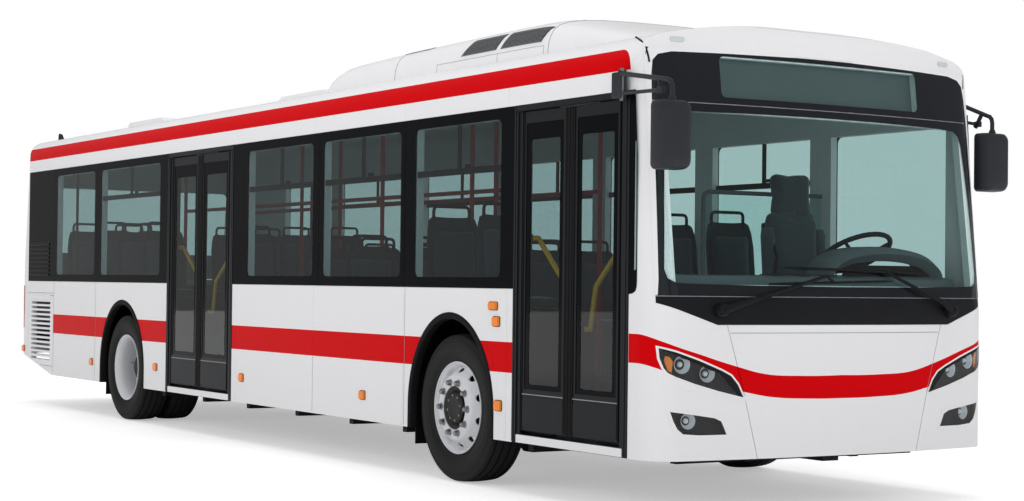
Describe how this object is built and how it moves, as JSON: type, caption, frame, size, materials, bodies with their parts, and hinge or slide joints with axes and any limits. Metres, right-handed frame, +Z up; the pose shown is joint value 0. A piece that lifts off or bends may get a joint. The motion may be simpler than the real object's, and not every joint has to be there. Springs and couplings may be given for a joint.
{
  "type": "low-floor city bus",
  "caption": "Low-floor city bus with inward-gliding double doors, steered front wheels, twin rear wheels, hinged engine and radiator lids and a fitted passenger cabin.",
  "frame": {"origin": "on the ground, below the middle of the bus's outer box", "axes": "+X forward, +Y to the left, +Z up"},
  "size_m": [11.5443, 3.07, 3.06],
  "materials": {
    "white_paint": "gloss",
    "tinted_glass": "tinted",
    "clear_plastic": "clear",
    "red_plastic": "gloss",
    "black_plastic": "fine grain",
    "anthracite_paint": "satin",
    "grey_moulding": "fine grain",
    "red_tube": "powder coat",
    "rubber": "matt",
    "tyre": "matt",
    "wheel_steel": "silver",
    "frame_steel": "satin",
    "floor_sheet": "vinyl sheet",
    "cast_block": "cast"
  },
  "bodies": {
    "body": {"air_conditioner": "white_paint", "air_springs": "rubber", "chassis_frame": "frame_steel", "dashboard": "black_plastic", "door_frames": "anthracite_paint", "driver_partition": "black_plastic", "driver_seat": "black_plastic", "engine_block": "cast_block", "floor": "floor_sheet", "front_axle": "frame_steel", "front_corner_panels": "white_paint", "front_glass": "tinted_glass", "front_lamps": "black_plastic", "front_mask": "white_paint", "front_panel": "white_paint", "handrails": "red_tube", "lamp_lenses": "clear_plastic", "mirrors": "black_plastic", "mudflaps": "rubber", "passenger_seats": "grey_moulding", "rear_axle": "frame_steel", "rear_wall": "white_paint", "rear_window": "tinted_glass", "roof_hatches": "white_paint", "roof_panel": "white_paint", "side_wall_left": "white_paint", "side_wall_right": "white_paint", "side_windows_left": "tinted_glass", "side_windows_right": "tinted_glass", "tail_lamps": "red_plastic", "wheel_arch_trims": "rubber", "wheel_housings": "black_plastic", "wiper_panel": "black_plastic", "wipers": "black_plastic"},
    "knuckle_left": {"knuckle_left": "frame_steel"},
    "front_wheel_left": {"front_wheel_left": "wheel_steel", "front_tyre_left": "tyre"},
    "rear_wheels_left": {"rear_wheel_left": "wheel_steel", "rear_tyres_left": "tyre"},
    "knuckle_right": {"knuckle_right": "frame_steel"},
    "front_wheel_right": {"front_wheel_right": "wheel_steel", "front_tyre_right": "tyre"},
    "rear_wheels_right": {"rear_wheel_right": "wheel_steel", "rear_tyres_right": "tyre"},
    "tie_rod": {"tie_rod": "frame_steel"},
    "steering_wheel": {"steering_wheel": "black_plastic"},
    "engine_door": {"engine_door": "white_paint"},
    "radiator_flap": {"radiator_flap": "white_paint"},
    "front_door_column_rear": {"front_door_column_rear": "frame_steel"},
    "front_door_leaf_rear": {"front_door_leaf_rear": "anthracite_paint", "front_door_glass_rear": "tinted_glass"},
    "front_door_column_front": {"front_door_column_front": "frame_steel"},
    "front_door_leaf_front": {"front_door_leaf_front": "anthracite_paint", "front_door_glass_front": "tinted_glass"},
    "rear_door_column_rear": {"rear_door_column_rear": "frame_steel"},
    "rear_door_leaf_rear": {"rear_door_leaf_rear": "anthracite_paint", "rear_door_glass_rear": "tinted_glass"},
    "rear_door_column_front": {"rear_door_column_front": "frame_steel"},
    "rear_door_leaf_front": {"rear_door_leaf_front": "anthracite_paint", "rear_door_glass_front": "tinted_glass"}
  },
  "joints": [
    {"name": "steer_left", "type": "hinge", "parent": "body", "child": "knuckle_left", "pos_m": [3.24, 0.96, 0.45], "axis": [0, 0, 1], "range_deg": [-38, 38]},
    {"name": "steer_right", "type": "hinge", "parent": "body", "child": "knuckle_right", "pos_m": [3.24, -0.96, 0.45], "axis": [0, 0, 1], "range_deg": [-38, 38]},
    {"name": "tie_rod_pivot", "type": "hinge", "parent": "knuckle_left", "child": "tie_rod", "pos_m": [3.04, 0.96, 0.225], "axis": [0, 0, 1], "range_deg": [-38, 38]},
    {"name": "steering_wheel_turn", "type": "hinge", "parent": "body", "child": "steering_wheel", "pos_m": [4.83, 0.72, 1.5], "axis": [-0.5, 0, 0.866], "range_deg": [-684, 684]},
    {"name": "front_wheel_spin_left", "type": "hinge", "parent": "knuckle_left", "child": "front_wheel_left", "pos_m": [3.24, 1.117, 0.478], "axis": [0, 1, 0], "continuous": true},
    {"name": "rear_wheels_spin_left", "type": "hinge", "parent": "body", "child": "rear_wheels_left", "pos_m": [-2.76, 1.117, 0.478], "axis": [0, 1, 0], "continuous": true},
    {"name": "front_wheel_spin_right", "type": "hinge", "parent": "knuckle_right", "child": "front_wheel_right", "pos_m": [3.24, -1.117, 0.478], "axis": [0, 1, 0], "continuous": true},
    {"name": "rear_wheels_spin_right", "type": "hinge", "parent": "body", "child": "rear_wheels_right", "pos_m": [-2.76, -1.117, 0.478], "axis": [0, 1, 0], "continuous": true},
    {"name": "engine_door_hinge", "type": "hinge", "parent": "body", "child": "engine_door", "pos_m": [-5.7673, 0, 1.29], "axis": [0, 1, 0], "range_deg": [0, 80]},
    {"name": "radiator_flap_hinge", "type": "hinge", "parent": "body", "child": "radiator_flap", "pos_m": [-5.13, -1.2823, 1.11], "axis": [-1, 0, 0], "range_deg": [0, 80]},
    {"name": "front_door_column_rear_turn", "type": "hinge", "parent": "body", "child": "front_door_column_rear", "pos_m": [4.042, -1.205, 1.3], "axis": [0, 0, 1], "range_deg": [0, 90]},
    {"name": "front_door_leaf_rear_swing", "type": "hinge", "parent": "front_door_column_rear", "child": "front_door_leaf_rear", "pos_m": [4.3315, -1.205, 1.3], "axis": [0, 0, 1], "range_deg": [-180, 0]},
    {"name": "front_door_column_front_turn", "type": "hinge", "parent": "body", "child": "front_door_column_front", "pos_m": [5.124, -1.205, 1.3], "axis": [0, 0, -1], "range_deg": [0, 90]},
    {"name": "front_door_leaf_front_swing", "type": "hinge", "parent": "front_door_column_front", "child": "front_door_leaf_front", "pos_m": [4.8345, -1.205, 1.3], "axis": [0, 0, -1], "range_deg": [-180, 0]},
    {"name": "rear_door_column_rear_turn", "type": "hinge", "parent": "body", "child": "rear_door_column_rear", "pos_m": [-1.627, -1.205, 1.3], "axis": [0, 0, 1], "range_deg": [0, 90]},
    {"name": "rear_door_leaf_rear_swing", "type": "hinge", "parent": "rear_door_column_rear", "child": "rear_door_leaf_rear", "pos_m": [-1.292, -1.205, 1.3], "axis": [0, 0, 1], "range_deg": [-180, 0]},
    {"name": "rear_door_column_front_turn", "type": "hinge", "parent": "body", "child": "rear_door_column_front", "pos_m": [-0.363, -1.205, 1.3], "axis": [0, 0, -1], "range_deg": [0, 90]},
    {"name": "rear_door_leaf_front_swing", "type": "hinge", "parent": "rear_door_column_front", "child": "rear_door_leaf_front", "pos_m": [-0.698, -1.205, 1.3], "axis": [0, 0, -1], "range_deg": [-180, 0]}
  ],
  "couplings": [
    {"joint": "steer_right", "follows": "steer_left", "ratio": 1},
    {"joint": "tie_rod_pivot", "follows": "steer_left", "ratio": -1},
    {"joint": "steering_wheel_turn", "follows": "steer_left", "ratio": 18},
    {"joint": "front_door_leaf_rear_swing", "follows": "front_door_column_rear_turn", "ratio": -2},
    {"joint": "front_door_leaf_front_swing", "follows": "front_door_column_front_turn", "ratio": -2},
    {"joint": "rear_door_leaf_rear_swing", "follows": "rear_door_column_rear_turn", "ratio": -2},
    {"joint": "rear_door_leaf_front_swing", "follows": "rear_door_column_front_turn", "ratio": -2}
  ]
}
